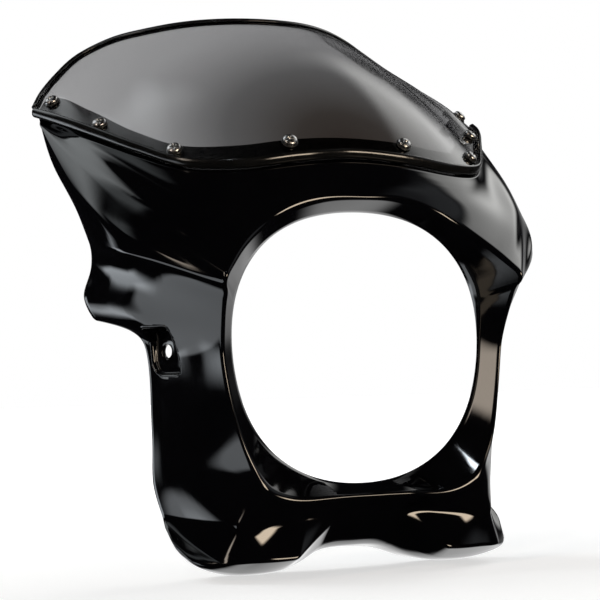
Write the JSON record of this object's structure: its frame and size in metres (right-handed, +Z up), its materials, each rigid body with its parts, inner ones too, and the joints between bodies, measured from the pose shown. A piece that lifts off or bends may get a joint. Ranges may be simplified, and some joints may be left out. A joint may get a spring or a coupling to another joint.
{
  "type": "motorcycle fairing",
  "caption": "Half fairing for a round headlight: glossy moulded shell with swept wings, a lobed chin and a smoked bubble windscreen screwed on along its brow.",
  "frame": {"origin": "centre of the headlight hole, in the plane of its inner rim", "axes": "front faces -Y, +Z up, +X to the right of somebody who looks at the front; symmetric about X = 0"},
  "size_m": [0.389, 0.2689, 0.4331],
  "materials": {
    "shell": "high gloss black",
    "smoked_acrylic": "smoked, polished",
    "trim_rubber": "satin black",
    "screw_steel": "dark zinc",
    "washer_nylon": "matt black"
  },
  "bodies": {
    "root": {"fairing_shell": "shell", "windscreen": "smoked_acrylic", "screen_edge_trim": "trim_rubber", "screen_base_trim": "trim_rubber", "screen_screws": "screw_steel", "screen_washers": "washer_nylon", "screen_nuts": "trim_rubber"}
  },
  "joints": []
}
